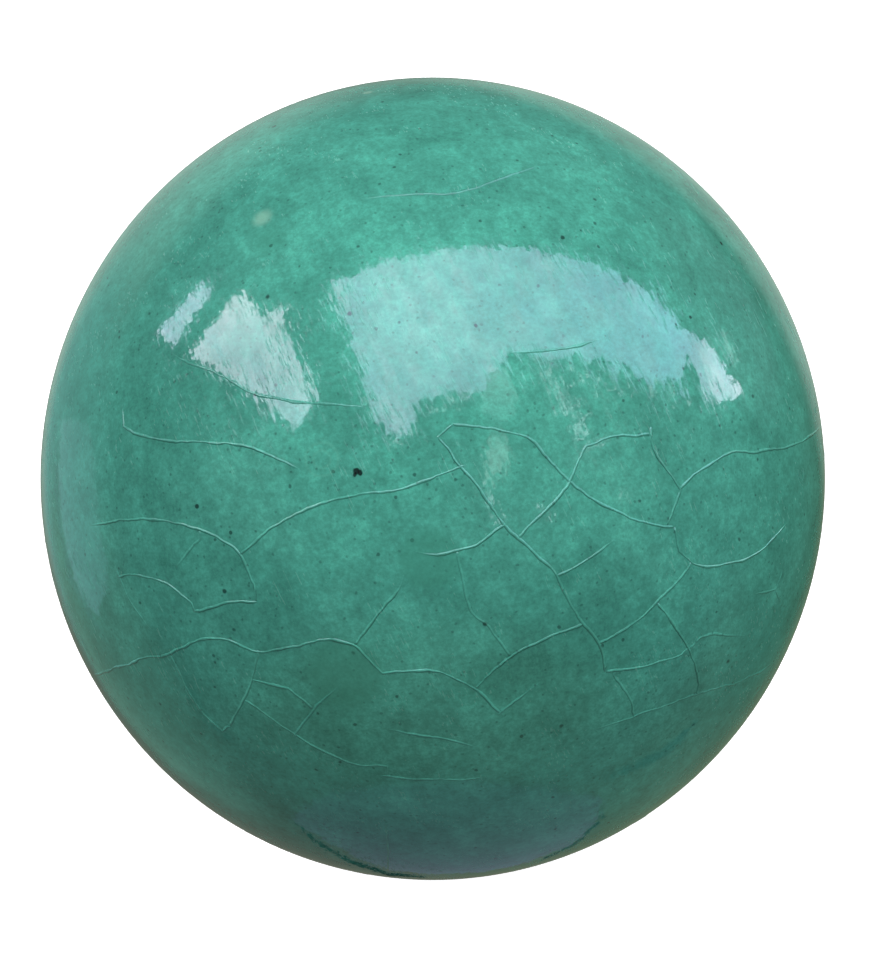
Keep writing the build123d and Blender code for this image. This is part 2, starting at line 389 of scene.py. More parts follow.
rings, spacing, distance = [], 0.0, 0.9 * MM
while distance < along_section[-1] - 0.8 * MM:
    rings.append(distance)
    r, z, _ = section_at(distance)
    if distance < lip_end:
        spacing = 1.0 if z > 104 * MM else 0.72
    else:
        spacing = 0.75 if distance > hole_start else 1.7
    distance += spacing * MM
segments = 256
groove_height, groove_spread = 94.5, 8.0  # mm: where glaze has pooled
rims = [(104.5, 2.2), (83.0, 2.4), (51.0, 2.2)]  # mm: height and spread of the thinly glazed edges

vertices = [shell_point(0, 0)[0]]
glazed, pooled = [1.0], [0.0]
for distance in rings:
    for k in range(segments):
        angle = 2 * pi * k / segments
        point, normal = shell_point(angle, distance)
        if distance > hole_start:
            point += Vector((cos(angle), sin(angle), 0)) * thread_depth(point.z / MM, angle)
        vertices.append(point)
        edge = 1.2 * noise(point * 70) * MM
        bare_lip = smoothstep(lip_end - 6.0 * MM, lip_end - 4.6 * MM, distance + edge) * (
            1 - smoothstep(lip_end + 4.0 * MM, lip_end + 5.0 * MM, distance + edge)
        )
        bare_hole = smoothstep(hole_start - 2 * MM, hole_start - 1 * MM, distance + edge)
        glazed.append(1 - max(bare_lip, bare_hole))
        r, z, _ = section_at(distance)
        deep = exp(-(((z / MM - groove_height) / groove_spread) ** 2))
        thin = sum(exp(-(((z / MM - height) / spread) ** 2)) for height, spread in rims)
        pooled.append(deep - thin if distance < lip_end else 0.0)
vertices.append(Vector((0, 0, hole_top * MM)))
glazed.append(0.0)
pooled.append(0.0)
faces = [(0, 1 + k, 1 + (k + 1) % segments) for k in range(segments)]
for i in range(len(rings) - 1):
    top, low = 1 + i * segments, 1 + (i + 1) * segments
    for k in range(segments):
        nxt = (k + 1) % segments
        faces.append((top + k, low + k, low + nxt, top + nxt))
last = 1 + (len(rings) - 1) * segments
faces += [(last + k, len(vertices) - 1, last + (k + 1) % segments) for k in range(segments)]


# ---- glaze
dark_glaze, iron_spot = (0.04, 0.215, 0.155), (0.006, 0.013, 0.013)
pale_clay = (0.24, 0.46, 0.36)
# Mottling: noise scale, darkest and lightest share
glaze_grain = [(28, 0.89, 1.11), (190, 0.9, 1.1), (420, 0.92, 1.09), (1300, 0.89, 1.11), (3300, 0.89, 1.11)]
# Specks: cell scale, radius in cells, share of the cells without one, strength
glaze_specks = [(1100, 0.22, 0.5, 0.42), (480, 0.13, 0.66, 0.7), (230, 0.085, 0.8, 0.92)]
scratch_turn = 0.44  # radians, how the scratches and washes lean
ragged = 0.32 * MM  # how far the outlines of marks wander
ragged_mean = Vector((0.16, 0.16, 0.16)) * MM  # what that wandering adds on average
# Marks in the glaze, as the camera sees them: mm right and above, radius, softness, colour, share
glaze_marks = [
    (-8.55, 0.72, 0.34, 0.3, iron_spot, 0.96),
    (-8.12, 0.58, 0.28, 0.3, iron_spot, 0.96),
    (-8.7, 0.36, 0.2, 0.4, iron_spot, 0.9),
    (-26.4, -3.2, 0.24, 0.3, iron_spot, 0.85),
    (-22.6, -6.1, 0.2, 0.3, iron_spot, 0.7),
    (-18.1, 26.1, 0.2, 0.3, iron_spot, 0.7),
    (28.9, 18.1, 0.18, 0.3, iron_spot, 0.8),
    (4.9, 17.1, 0.2, 0.3, iron_spot, 0.8),
    (-2.3, -7, 0.22, 0.3, iron_spot, 0.6),
    (-0.3, -9.1, 3.1, 0.22, dark_glaze, 0.5),
    (-9.8, -22, 4, 0.25, dark_glaze, 0.5),
    (-19.1, 29.2, 0.95, 0.7, pale_clay, 0.62),
    (-18.4, 26.6, 1.7, 0.6, dark_glaze, 0.35),
    (-7.3, 43.3, 0.5, 0.4, pale_clay, 0.75),
]
swirl_place, swirl_rings = (-12.4, 2.1), (0.9, 1.7)


def glaze_material(name, paler=0.0):
    """Crackled jade glaze: mottled colour, iron specks, and a fine scratched skin."""
    m = Nodes(name)
    place = m.place()
    jade, deep, light = (0.06, 0.3, 0.232), (0.048, 0.252, 0.193), (0.073, 0.345, 0.268)
    clouds = m.noise(place, 75, 4, 0.6, 0.4)
    colour = m.ramp(clouds, (0.3, deep), (0.5, jade), (0.72, light))
    for scale, low, high in glaze_grain:
        grain = m.range(m.noise(place, scale, 3, 0.65), 0.3, 0.7, low, high)
        colour = m.tinted(colour, grain)
    washes = m.noise(m.stretched(place, (700, 90, 200), scratch_turn), 1.0, 3, 0.6)
    colour = m.tinted(colour, m.range(washes, 0.3, 0.7, 0.95, 1.06))
    if paler:
        colour = m.blend(paler, colour, (0.105, 0.44, 0.355))
        # Painted shade along each ridge's flank away from the key light.
        ridge_shade = m.attribute("painted_shade")
        colour = m.blend(m.times(ridge_shade, 0.75), colour, (0.022, 0.12, 0.092))
    pool = m.attribute("pooled")
    colour = m.blend(m.range(pool, 0.2, 1.0, 0.0, 0.55), colour, (0.022, 0.175, 0.14))
    colour = m.blend(m.range(pool, -0.1, -1.0, 0.0, 0.55), colour, (0.15, 0.33, 0.235))
    wobble = m.add("ShaderNodeTexNoise", {"Vector": place, "Scale": 1500.0, "Detail": 2.0}).outputs["Color"]
    stray = m.vector("MULTIPLY", wobble, (ragged, ragged, ragged)).outputs[0]
    stray = m.vector("ADD", place, stray).outputs[0]
    for scale, size, share, strength in glaze_specks:
        cell = m.cells(stray, scale)
        tone = m.add("ShaderNodeSeparateColor", {0: cell.outputs["Color"]}).outputs[0]
        spot = m.range(cell.outputs["Distance"], size, size * 0.45)
        spot = m.times(spot, m.math("GREATER_THAN", tone, share))
        colour = m.blend(m.times(spot, strength), colour, (0.014, 0.052, 0.044))
    for x, y, radius, softness, tint, strength in glaze_marks:
        away = m.distance(stray, seen(x, y)[0] + ragged_mean)
        spot = m.range(away, radius * (1 + softness) * MM, radius * (1 - softness) * MM, 0, strength)
        colour = m.blend(spot, colour, tint)
    away = m.distance(stray, seen(*swirl_place)[0] + ragged_mean)
    for radius in swirl_rings:
        ring = m.math("ABSOLUTE", m.math("SUBTRACT", away, radius * MM))
        colour = m.blend(m.range(ring, 0.22 * MM, 0.05 * MM, 0.0, 0.16), colour, (0.13, 0.4, 0.3))
    scratches = m.noise(m.stretched(place, (4200, 330, 1500), scratch_turn), 1.0, 2, 0.6)
    worn = m.range(m.noise(place, 130, 3, 0.6), 0.38, 0.62, 0.25, 1.0)
    scored = m.times(m.range(scratches, 0.54, 0.66), worn)
    height = m.times(scored, 0.42)
    streaks = m.noise(m.stretched(place, (2300, 300, 900), 0.36), 1.0, 0, 0.5)
    height = m.plus(height, m.times(streaks, 0.55))
    height = m.plus(height, m.noise(place, 1000, 0.6, 0.5))
    skin = m.bump(height, 0.012 * MM)
    rough = m.range(m.noise(place, 260, 4, 0.6), 0.3, 0.8, 0.03, 0.06)
    pitted = m.range(m.noise(place, 1700, 2, 0.6), 0.58, 0.7, 0.0, 0.1)
    rough = m.plus(rough, m.plus(m.times(scored, 0.27), pitted))
    bare = m.blend(m.noise(place, 300, 4, 0.6), (0.3, 0.235, 0.165), (0.46, 0.39, 0.3))
    bare_skin = m.bump(m.noise(place, 1500, 4, 0.7), 0.05 * MM)
    glaze = m.surface(colour, rough, skin, IOR=1.5)
    clay = m.surface(bare, 0.85, bare_skin, IOR=1.4)
    share = m.attribute("glazed")
    return m.finish(m.add("ShaderNodeMixShader", {0: share, 1: clay, 2: glaze}).outputs[0])


glaze = glaze_material("jade_glaze")
ridge_glaze = glaze_material("jade_glaze_ridge", paler=0.12)
shell = new_mesh("glazed_shell", vertices, faces, glaze)
set_attribute(shell, "glazed", glazed)
set_attribute(shell, "pooled", pooled)
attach(shell, "shell")
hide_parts("porcelain_shell")


# ---- crackle ridges
def smooth_line(points, step):
    """Catmull-Rom curve through 3-D points, sampled a step apart."""
    points = [2 * points[0] - points[1]] + list(points) + [2 * points[-1] - points[-2]]
    curve = []
    for a, b, c, d in zip(points, points[1:], points[2:], points[3:]):
        count = max(1, round((c - b).length / step))
        for i in range(count):
            t = i / count
            place = 2 * b + (c - a) * t + (2 * a - 5 * b + 4 * c - d) * t * t
            curve.append(0.5 * (place + (3 * b - a - 3 * c + d) * t**3))
    return curve + [points[-2]]


def on_shell(point):
    """Angle and section distance of the crown's point nearest to a point close to it."""
    unit = Vector((point.x / oval_x, point.y / oval_y, point.z - crown_centre.z)).normalized()
    return atan2(unit.y, unit.x), acos(max(-1, min(1, unit.z))) * crown_radius


unlit_side = Vector((-0.12, 0.99, -0.12))  # the side away from the key light, where shade is painted along the ridges
ridge_width = 0.36 * MM
ridge_sunk, ridge_root = 0.008 * MM, 0.12  # metres and mm that its edges and middle go into the glaze
crack_step = 0.4 * MM
grown_step = 0.5 * MM


def add_ridge(trail, height, tapered, vertices, faces, shade_shares):
    """Adds a closed, round-topped ridge along a trail of (angle, distance) places on the shell.

    tapered says, for its start and its end, whether the ridge fades out there. The last list takes
    the share of painted shade at each vertex, on the ridge's flank away from the key light.
    """
    profile = [(cos(pi * k / 8), (1 - cos(2 * pi * k / 8)) / 2) for k in range(9)]
    count, first = len(trail), len(vertices)
    centres = [shell_point(*place) for place in trail]
    for i, (point, normal) in enumerate(centres):
        way = (centres[min(i + 1, count - 1)][0] - centres[max(i - 1, 0)][0]).normalized()
        side = normal.cross(way).normalized()
        fade = [7 if thin else 1 for thin in tapered]
        taper = min(1.0, (i + 0.4) / fade[0], (count - 0.6 - i) / fade[1])
        swell = 0.85 + 0.5 * noise(point * 520)
        for across, rise in profile:
            up = height * rise * swell * taper - ridge_sunk
            out = side * across * ridge_width / 2 * (0.4 + 0.6 * taper) * swell
            vertices.append(point + out + normal * up)
            # Painted shade: the flank facing away from the key light is darkened, more on taller ridges.
            away_from_light = across * (1 if side.dot(unlit_side) > 0 else -1)
            shade_depth = taper * (0.75 + 0.5 * noise(point * 300)) * min(1.0, height / (0.09 * MM))
            shade_shares.append(smoothstep(0.05, 0.6, away_from_light) * shade_depth)
        vertices.append(point - normal * ridge_root * MM)
        shade_shares.append(0.0)
    ring = len(profile) + 1
    for i in range(count - 1):
        a, b = first + i * ring, first + (i + 1) * ring
        for k in range(ring):
            n = (k + 1) % ring
            faces.append((a + k, a + n, b + n, b + k))
    faces.append(tuple(first + k for k in range(ring))[::-1])
    faces.append(tuple(first + (count - 1) * ring + k for k in range(ring)))


# Cracks on the face of the crown, as the camera sees them: mm right of and above its centre
seen_cracks = [
    [(-7.6, 31.5), (1.9, 32), (7.2, 33.4), (12, 35.2)],
    [(-34.9, 8.3), (-34.6, 5.8), (-33, 4.8), (-29.1, 4.2), (-22.5, 3.8), (-17.4, 2.3), (-14.9, 1)],
    [(-38.4, -5.4), (-34.6, -4.7), (-30.5, -4.7), (-26, -5.8), (-23.5, -7), (-21.6, -8.5),
     (-20, -11.8)],
    [(-21.6, -8.5), (-17.4, -5.1), (-12.4, -2.9), (-6.9, -1.7), (-2.4, -0.9), (3.6, 1.5)],
    [(-35.2, -11.1), (-33.3, -10.8), (-29.8, -11.9), (-27, -14)],
    [(-26.7, -15), (-22.8, -14), (-19.7, -13.8)],
    [(-38, -21.9), (-32.9, -20.3), (-29.8, -19.8), (-26.3, -18.2), (-23.1, -18.1), (-19.6, -19.4),
     (-15.6, -18.9), (-11.7, -18.2), (-8.8, -18.8), (-5.6, -21.9), (-2.4, -21.7), (0.8, -21.8),
     (4.7, -23.7), (7, -25.8)],
    [(-8.8, -18.8), (-6.2, -15.4), (-3.7, -12.4), (-3.2, -10.8)],
    [(0.7, 4.5), (3.2, 1.3), (4.9, -0.7), (8, -5.1), (9.9, -7), (12.1, -9.1), (13.9, -11),
     (16.3, -15.6), (18.8, -18.7), (19.4, -21.7)],
    [(-2.4, -8.2), (0, -8.7), (2.8, -8.3), (5.2, -7.3), (8.2, -5.2)],
    [(9.9, -6.4), (12.8, -3.6), (14.9, -1), (17.4, 3.5), (20.1, 4.6), (24.5, 4.8)],
    [(2.2, 6), (7, 5.5), (10.8, 4.5), (12.8, 2.3), (15.3, -0.4), (19.4, -3.1), (22.9, -4.8),
     (26.4, -5.4)],
    [(13.9, -11), (17.4, -9.2), (20.4, -6.8)],
    [(4.7, -23.7), (8.7, -20.1), (12.1, -18.2), (16.5, -16.5)],
    [(18.8, -18.5), (22.2, -16.6), (25, -14.2), (28.8, -9.9)],
    [(25.5, -14.3), (28.5, -18.7), (30, -22.9)],
    [(19.4, -21.7), (24.3, -21), (27.7, -19.8)],
    [(27.1, -5.5), (27.7, -8.3), (29.5, -9.6), (31.9, -9.8), (36.1, -8.5), (40, -4.8)],
    [(26.7, -4.5), (27.8, -1.3), (24.8, 3.3), (24.4, 5.6)],
    [(27.8, -1.3), (29.4, 0.4), (31.2, 1.7), (33.5, 2.8), (36.4, 3), (40, 3.6), (43.4, 5.8)],
]
faint_cracks = [
    [(-20, -22.7), (-16.1, -23.6), (-13.3, -26)],
    [(-10.2, -23), (-13.3, -26), (-15.6, -29)],
    [(-20, -25.4), (-14.2, -29.5), (-9.4, -31.9), (-5.1, -32.4)],
    [(-5.6, -28.1), (0.5, -29), (5.2, -30.2)],
    [(-5.6, -33.4), (0.8, -33.8), (7, -33.4)],
    [(-35.5, -10), (-33.6, -14.3), (-31.1, -17.3)],
    [(-28.5, -21.4), (-26.3, -25.7), (-23.5, -28.4)],
    [(-19.6, -20.1), (-20.8, -24.2), (-22.8, -27.7)],
    [(-26, -7), (-28.8, -10)],
    [(8.7, -20), (6.3, -16.6), (4.2, -14.6), (2.9, -9)],
    [(20.4, -21.9), (22.2, -24.9), (22.6, -26.7)],
    [(17.9, -28.3), (22.6, -26.7), (26, -25.5), (30.9, -23.8), (38.1, -20.7)],
    [(35.6, -13.1), (38.5, -12.4), (39.6, -9.3)],
    [(38.5, -12.4), (39.2, -14.4)],
    [(30, -17.9), (31.9, -17.5), (35.2, -17.7)],
    [(7.3, -26.5), (11.8, -22.9)],
    [(8.7, 14.2), (11.5, 14.2), (15.4, 14.7), (19, 15.5)],
    [(-29.1, 13.8), (-23.5, 11.4), (-19.7, 9.3), (-12.4, 8.3), (-7.6, 7.9)],
    [(-5, -38.6), (-4.9, -41.5), (-4.9, -44.2)],
]
seeded = random.Random(11)
ridge_mesh, taken = ([], [], []), {}
grid_cell = 1.2 * MM
glaze_end = lip_end - 6 * MM
highest_grown, highest_seed = crown_radius * 1.5, crown_radius * 1.52  # off the photo's face
grown_tries = range(1000, 1230)  # numbers of the grown cracks, above those of the drawn ones


def claim(point, owner):
    """Notes that a crack passes a point, in a coarse 3-D grid."""
    taken.setdefault(tuple(floor(c / grid_cell) for c in point), []).append((point, owner))


def near_crack(point, reach, owner):
    """Whether another crack passes within reach of a point, as far as the cells next to it show."""
    cell = [floor(c / grid_cell) for c in point]
    for shift in product((-1, 0, 1), repeat=3):
        for other, who in taken.get(tuple(map(sum, zip(cell, shift))), ()):
            if who != owner and (other - point).length < reach:
                return True
    return False


def kinked_line(points, step):
    """Smooth curve through points, with a sharp corner wherever the way turns by over 38 degrees."""
    curve, start = [], 0
    for i in range(1, len(points)):
        last = i == len(points) - 1
        if last or (points[i] - points[i - 1]).angle(points[i + 1] - points[i]) > radians(38):
            part = points[start : i + 1]
            if len(part) == 2:
                part.insert(1, part[0].lerp(part[1], 0.5))
            bend = smooth_line(part, step)
            curve += bend if last else bend[:-1]
            start = i
    return curve


curves = [kinked_line([seen(x, y)[0] for x, y in crack], crack_step) for crack in seen_cracks + faint_cracks]
for number, curve in enumerate(curves):
    others = [point for k, other in enumerate(curves) if k != number for point in other]
    for end in (0, -1):
        nearest = min(others, key=lambda point: (point - curve[end]).length)
        gap = (nearest - curve[end]).length
        if 0.15 * MM < gap < 2.2 * MM:
            steps = max(1, round(gap / crack_step))
            bridge = [curve[end].lerp(nearest, k / steps) for k in range(1, steps + 1)]
            curve[:] = bridge[::-1] + curve if end == 0 else curve + bridge


def drift(point, scale, step, layer):
    """A random 3-D offset that changes along a crack."""
    return Vector([noise(point * scale + Vector((i * step, number, layer))) for i in range(3)])


for number, curve in enumerate(curves):
    others = [point for k, other in enumerate(curves) if k != number for point in other]
    tapered = [min((point - curve[end]).length for point in others) > 0.7 * MM for end in (0, -1)]
    trail = []
    for point in curve:
        wander = drift(point, 300, 9, 0) * 0.22 * MM
        wander += drift(point, 1300, 5, 3) * 0.10 * MM
        angle, distance = on_shell(point + wander)
        place = shell_point(angle, distance)[0]
        if trail and (place - shell_point(*trail[-1])[0]).length < 0.12 * MM:
            continue
        trail.append((angle, distance))
        claim(place, number)
    height = (0.085 if number < len(seen_cracks) else 0.06) * MM
    add_ridge(trail, height, tapered, *ridge_mesh)


def grow(angle, distance, heading, owner, longest):
    """A crack that wanders from a place until it meets another crack or the glaze's end."""
    trail = []
    for i in range(int(longest / grown_step)):
        point = shell_point(angle, distance)[0]
        if distance > glaze_end or distance < highest_grown or near_crack(point, 0.7 * MM, owner):
            if i and distance < glaze_end:
                trail.append((angle, distance))
            break
        trail.append((angle, distance))
        claim(point, owner)
        heading += 0.035 * noise(point * 90 + Vector((owner, 0, 0))) + seeded.uniform(-0.03, 0.03)
        heading += seeded.gauss(0, 0.45) if seeded.random() < 0.05 else 0.0
        angle += cos(heading) * grown_step / hypot(point.x, point.y)
        distance += sin(heading) * grown_step
    return trail


for owner in grown_tries:
    angle = seeded.uniform(0, 2 * pi)
    distance = seeded.uniform(highest_seed, lip_end - 8 * MM)
    if near_crack(shell_point(angle, distance)[0], 3.0 * MM, owner):
        continue
    heading = seeded.choice((seeded.gauss(0, 0.5), seeded.gauss(pi / 2, 0.45)))
    ahead = grow(angle, distance, heading, owner, 38 * MM)
    behind = grow(angle, distance, heading + pi, owner, 38 * MM)
    trail = behind[:0:-1] + ahead
    if len(trail) > 12:
        add_ridge(trail, 0.08 * MM, (False, False), *ridge_mesh)
vertices, faces, shade_shares = ridge_mesh
ridges = new_mesh("glaze_crackle", vertices, faces, ridge_glaze)
set_attribute(ridges, "glazed", [1.0] * len(vertices))
# Per-vertex share of the ridges' painted shade.
set_attribute(ridges, "painted_shade", shade_shares)
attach(ridges, "shell")


# ---- pin, nuts and washers
def metal(m, colour, rough, normal, metallic):
    """Finishes a metal's material."""
    return m.finish(m.surface(colour, rough, normal, Metallic=metallic))


def rusted(m, place, colour, rough, scale, low, high):
    """Rust blooming over a colour and its roughness, where a noise is high."""
    bloom = m.noise(place, scale, 6, 0.68, 0.3)
    share = m.range(bloom, low, high, 0.0, 0.9)
    grain = m.noise(place, scale * 14, 4, 0.7)
    rust = m.blend(grain, (0.085, 0.03, 0.012), (0.29, 0.115, 0.04))
    return m.blend(share, colour, rust), m.plus(rough, m.times(share, 0.35), True), share


def galvanised_material(name, spangle, rust_low):
    """Hot-dip zinc: frosted spangle crystals, chalky bloom, runs, scratches and a little rust."""
    m = Nodes(name)
    place = m.place()
    crystal = m.cells(place, spangle)
    tone = m.add("ShaderNodeSeparateColor", {0: crystal.outputs["Color"]}).outputs[0]
    zinc = m.ramp(tone, (0.0, (0.34, 0.36, 0.375)), (0.5, (0.41, 0.43, 0.445)),
                  (1, (0.49, 0.51, 0.52)), interpolation="LINEAR")
    chalk = m.range(m.noise(place, 120, 5, 0.65), 0.46, 0.66, 0.0, 0.6)
    zinc = m.blend(chalk, zinc, (0.56, 0.57, 0.56))
    grime = m.range(m.noise(m.stretched(place, (260, 260, 60)), 1.0, 4, 0.6), 0.5, 0.75, 0.0, 0.45)
    zinc = m.blend(grime, zinc, (0.13, 0.125, 0.115))
    rough = m.range(tone, 0.0, 1.0, 0.34, 0.52)
    rough = m.plus(rough, m.times(chalk, 0.25), True)
    zinc, rough, rust = rusted(m, place, zinc, rough, 85, rust_low, rust_low + 0.1)
    runs = m.noise(m.stretched(place, (420, 420, 110)), 1.0, 3, 0.5)
    grit = m.noise(place, 2600, 4, 0.7)
    height = m.plus(m.times(runs, 0.5), m.times(grit, m.plus(rust, 0.15)))
    return metal(m, zinc, rough, m.bump(height, 0.10 * MM), 0.55)


def cast_iron_material(name):
    """Sand-cast iron: pebbled dark skin, thin old paint in the hollows and rust on the high places."""
    m = Nodes(name)
    place = m.place()
    sand = m.noise(place, 950, 5, 0.75)
    pits = m.range(m.cells(place, 620).outputs["Distance"], 0.05, 0.42)
    waves = m.noise(place, 130, 3, 0.5)
    iron = m.ramp(m.noise(place, 180, 5, 0.65), (0.3, (0.055, 0.052, 0.05)),
        (0.52, (0.115, 0.11, 0.105)), (0.75, (0.19, 0.18, 0.17)))
    iron = m.blend(m.range(sand, 0.42, 0.62, 0.45, 0.0), iron, (0.03, 0.028, 0.027))
    iron, rough, rust = rusted(m, place, iron, 0.55, 95, 0.5, 0.66)
    height = m.plus(sand, m.times(pits, 0.5))
    height = m.plus(height, m.times(waves, 2.0))
    return metal(m, iron, rough, m.bump(height, 0.16 * MM), 0.45)


def lead_material(name):
    """Cast lead: soft blue-grey metal, dull oxide, pale bloom and smeared tool marks."""
    m = Nodes(name)
    place = m.place()
    base = m.ramp(m.noise(place, 160, 5, 0.6), (0.3, (0.105, 0.115, 0.13)),
        (0.55, (0.175, 0.188, 0.205)), (0.8, (0.3, 0.31, 0.32)))
    bloom = m.range(m.noise(place, 420, 5, 0.7), 0.55, 0.72, 0.0, 0.65)
    base = m.blend(bloom, base, (0.47, 0.47, 0.45))
    smears = m.noise(m.stretched(place, (500, 500, 2600)), 1.0, 3, 0.6)
    dents = m.range(m.cells(place, 260, "SMOOTH_F1").outputs["Distance"], 0.0, 0.5)
    height = m.plus(m.times(smears, 0.6), m.times(dents, 0.5))
    rough = m.range(m.noise(place, 300, 3, 0.6), 0.3, 0.7, 0.46, 0.68)
    return metal(m, base, rough, m.bump(height, 0.08 * MM), 0.6)


def rubber_material(name):
    """Old moulded rubber: matt black, dusty, with a fine pebbled skin and small cracks."""
    m = Nodes(name)
    place = m.place()
    dust = m.range(m.noise(place, 240, 5, 0.65), 0.45, 0.7, 0.0, 0.5)
    base = m.blend(dust, (0.018, 0.017, 0.017), (0.085, 0.078, 0.068))
    pebble = m.noise(place, 1900, 3, 0.6)
    cracks = m.range(m.cells(place, 420, "DISTANCE_TO_EDGE").outputs["Distance"], 0.0, 0.05)
    height = m.plus(m.times(pebble, 0.4), cracks)
    return metal(m, base, m.range(dust, 0.0, 0.5, 0.55, 0.85), m.bump(height, 0.05 * MM), 0.0)


def spring_steel_material(name):
    """Oil-blackened spring steel: brown-black scale, drawn round the coil, worn bright in places."""
    m = Nodes(name)
    place = m.place()
    scale = m.ramp(m.noise(place, 330, 5, 0.65), (0.3, (0.03, 0.031, 0.036)),
        (0.6, (0.07, 0.068, 0.07)), (0.85, (0.15, 0.14, 0.13)))
    worn = m.range(m.noise(m.stretched(place, (300, 300, 4200)), 1.0, 4, 0.6), 0.58, 0.7, 0.0, 0.7)
    scale = m.blend(worn, scale, (0.4, 0.39, 0.38))
    scale, rough, rust = rusted(m, place, scale, 0.42, 150, 0.56, 0.68)
    drawn = m.noise(m.stretched(place, (240, 240, 5200)), 1.0, 3, 0.6)
    return metal(m, scale, rough, m.bump(m.plus(drawn, m.times(rust, 0.6)), 0.05 * MM), 0.75)


def nut_material(name):
    """Zinc-plated nuts: faces brushed by the spanner, dull valleys, and rust from the thread."""
    m = Nodes(name)
    place = m.place()
    zinc = m.ramp(m.noise(place, 210, 5, 0.6), (0.3, (0.25, 0.255, 0.26)), (0.55, (0.37, 0.375, 0.375)),
        (0.8, (0.5, 0.5, 0.485)))
    scuffs = m.noise(m.stretched(place, (3800, 300, 700), 0.5), 1.0, 3, 0.6)
    zinc = m.blend(m.range(scuffs, 0.58, 0.68, 0.0, 0.5), zinc, (0.62, 0.62, 0.61))
    flat_place = m.vector("MULTIPLY", place, (1, 1, 0)).outputs[0]
    bore = m.range(m.distance(flat_place, (0, 0, 0)), 12.5 * MM, 9.5 * MM)
    grime = m.times(bore, m.range(m.noise(place, 420, 4, 0.65), 0.3, 0.6))
    zinc = m.blend(m.times(grime, 0.85), zinc, (0.12, 0.06, 0.03))
    zinc, rough, rust = rusted(m, place, zinc, 0.4, 130, 0.57, 0.68)
    height = m.plus(m.times(scuffs, 0.4), m.times(m.noise(place, 1400, 4, 0.7), 0.5))
    return metal(m, zinc, rough, m.bump(height, 0.05 * MM), 0.6)


hardware = {
    "steel_pin": galvanised_material("pin_zinc", 340, 0.6),
    "square_washer": galvanised_material("washer_zinc", 360, 0.56),
    "pin_base": cast_iron_material("base_iron"),
    "lead_thread_head": lead_material("head_lead"),
    "cushion_disc": rubber_material("cushion_rubber"),
    "spring_washer": spring_steel_material("spring_scale"),
    "hex_nut": nut_material("nut_zinc"),
    "lock_nut": nut_material("lock_nut_zinc"),
}
for node_name, finish in hardware.items():
    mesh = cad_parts[node_name].data
    mesh.materials.clear()
    mesh.materials.append(finish)


# ---- bright and dark patches of the room
def glow_material(name, colour=None):
    """Plain light of one colour, or of the colour stored in the mesh."""
    m = Nodes(name)
    inputs = {"Strength": 1.0, "Color": colour or m.attribute("glow", "Color")}
    return m.finish(m.add("ShaderNodeEmission", inputs).outputs[0])


glow = glow_material("glow")
card_distance, fleck_distance, frame_distance = 1.2, 1.21, 1.0  # metres from the crown's centre
outline_step, grid_step = 0.25, 0.5  # mm as seen, on a card


def add_glowing(name, points, faces, colours):
    """A glowing mesh out in the room, which only mirror-like surfaces see."""
    obj = new_mesh(name, points, faces, glow)
    set_attribute(obj, "glow", [(*colour, 1) for colour in colours], "FLOAT_COLOR")
    hide_from(obj, "camera", "diffuse", "shadow", "transmission")
    return obj


def torn_outline(points, raggedness):
    """Closed outline through 2-D points in mm, with a torn edge of the given size."""
    count, outline = len(points), []
    for i in range(count):
        a, b = Vector(points[i]), Vector(points[(i + 1) % count])
        pieces = max(1, round((b - a).length / outline_step))
        side = Vector((b.y - a.y, a.x - b.x)).normalized()
        for k in range(pieces):
            p = a.lerp(b, k / pieces)
            tear = noise(Vector((p.x, p.y, 0)) * 1.5) + 0.8 * noise(Vector((p.x, p.y, 5)) * 3.7)
            outline.append(p + side * tear * raggedness * (1 if k else 0.3))
    return outline


def add_card(name, points, tint, raggedness, distance=card_distance):
    """A bright or dark patch out in the room, shaped so that the camera sees it mirrored at points."""
    outline = torn_outline(points, raggedness)
    lows = [min(p[i] for p in outline) for i in (0, 1)]
    highs = [max(p[i] for p in outline) for i in (0, 1)]
    inner = []
    x = lows[0] + 0.3
    while x < highs[0]:
        y = lows[1] + 0.3
        while y < highs[1]:
            inner.append(Vector((x, y)))
            y += grid_step
        x += grid_step
    edges = [(i, (i + 1) % len(outline)) for i in range(len(outline))]
    flat, _, triangles, _, _, _ = delaunay_2d_cdt(outline + inner, edges, [], 1, 1e-5)
    used = sorted({i for t in triangles for i in t})
    lookup = {old: new for new, old in enumerate(used)}
    card = add_glowing(
        name,
        [mirrored(flat[i].x, flat[i].y, distance) for i in used],
        [tuple(lookup[i] for i in t) for t in triangles],
        [tint(flat[i].x, flat[i].y) for i in used],
    )


blue_sky, pale_sky, white_sky = (2.8, 4.3, 6.2), (3.9, 4.4, 6.0), (7.3, 7.3, 8.7)


def sky(whiteness):
    """Sky brightness of a patch: whiteness 0 is deep blue, 1 is bright haze."""
    def tint(x, y):
        across, along = x * 0.91 + y * 0.42, y * 0.91 - x * 0.42
        share = whiteness(x, y) + 0.22 * noise(Vector((across * 0.6, along * 0.16, 2)))
        share += 0.34 * noise(Vector((across * 1.9, along * 0.28, 4)))
        bright = 1 + 0.26 * noise(Vector((across * 1.1, along * 0.2, 9)))
        if share < 0.5:
            colour = mix(blue_sky, pale_sky, max(0.0, share * 2))
        else:
            colour = mix(pale_sky, white_sky, min(1.6, share * 2 - 1))
        return [bright * part for part in colour]
    return tint


def plain(colour):
    """The same colour all over a card."""
    return lambda x, y: colour


